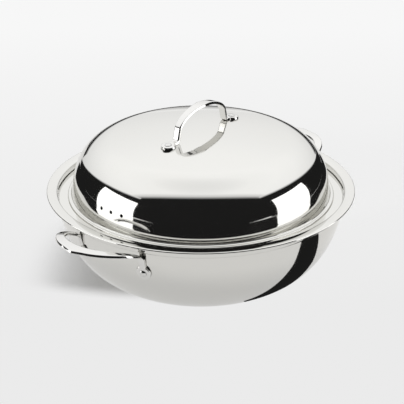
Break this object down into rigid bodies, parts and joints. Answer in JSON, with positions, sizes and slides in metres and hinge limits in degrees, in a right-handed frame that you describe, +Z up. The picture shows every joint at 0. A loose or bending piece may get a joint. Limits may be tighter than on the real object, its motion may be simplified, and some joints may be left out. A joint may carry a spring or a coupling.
{
  "type": "wok with domed lid",
  "caption": "Deep round polished steel wok with a flared lip, riveted loop side handles, and a high domed lid with an arch handle and steam holes.",
  "frame": {"origin": "centre of the underside of the wok's flat base", "axes": "+X through the middle of the side handles, the lid's arch lies in the same plane; +Z up, out of the mouth"},
  "size_m": [0.4416, 0.356, 0.207],
  "materials": {
    "polished_sheet": "mirror-polished stainless steel sheet",
    "polished_casting": "hand-polished cast stainless steel",
    "rivet_steel": "polished stainless steel rivet"
  },
  "bodies": {
    "root": {"wok_body": "polished_sheet", "side_handle_left": "polished_casting", "side_handle_right": "polished_casting", "handle_rivet_left_a": "rivet_steel", "handle_rivet_left_b": "rivet_steel", "handle_rivet_right_a": "rivet_steel", "handle_rivet_right_b": "rivet_steel"},
    "lid": {"lid_shell": "polished_sheet", "lid_handle": "polished_casting", "lid_rivet_left": "rivet_steel", "lid_rivet_right": "rivet_steel"}
  },
  "joints": [
    {"name": "lid_lift", "type": "slide", "parent": "root", "child": "lid", "axis": [0, 0, 1], "range_m": [0, 0.12]}
  ]
}
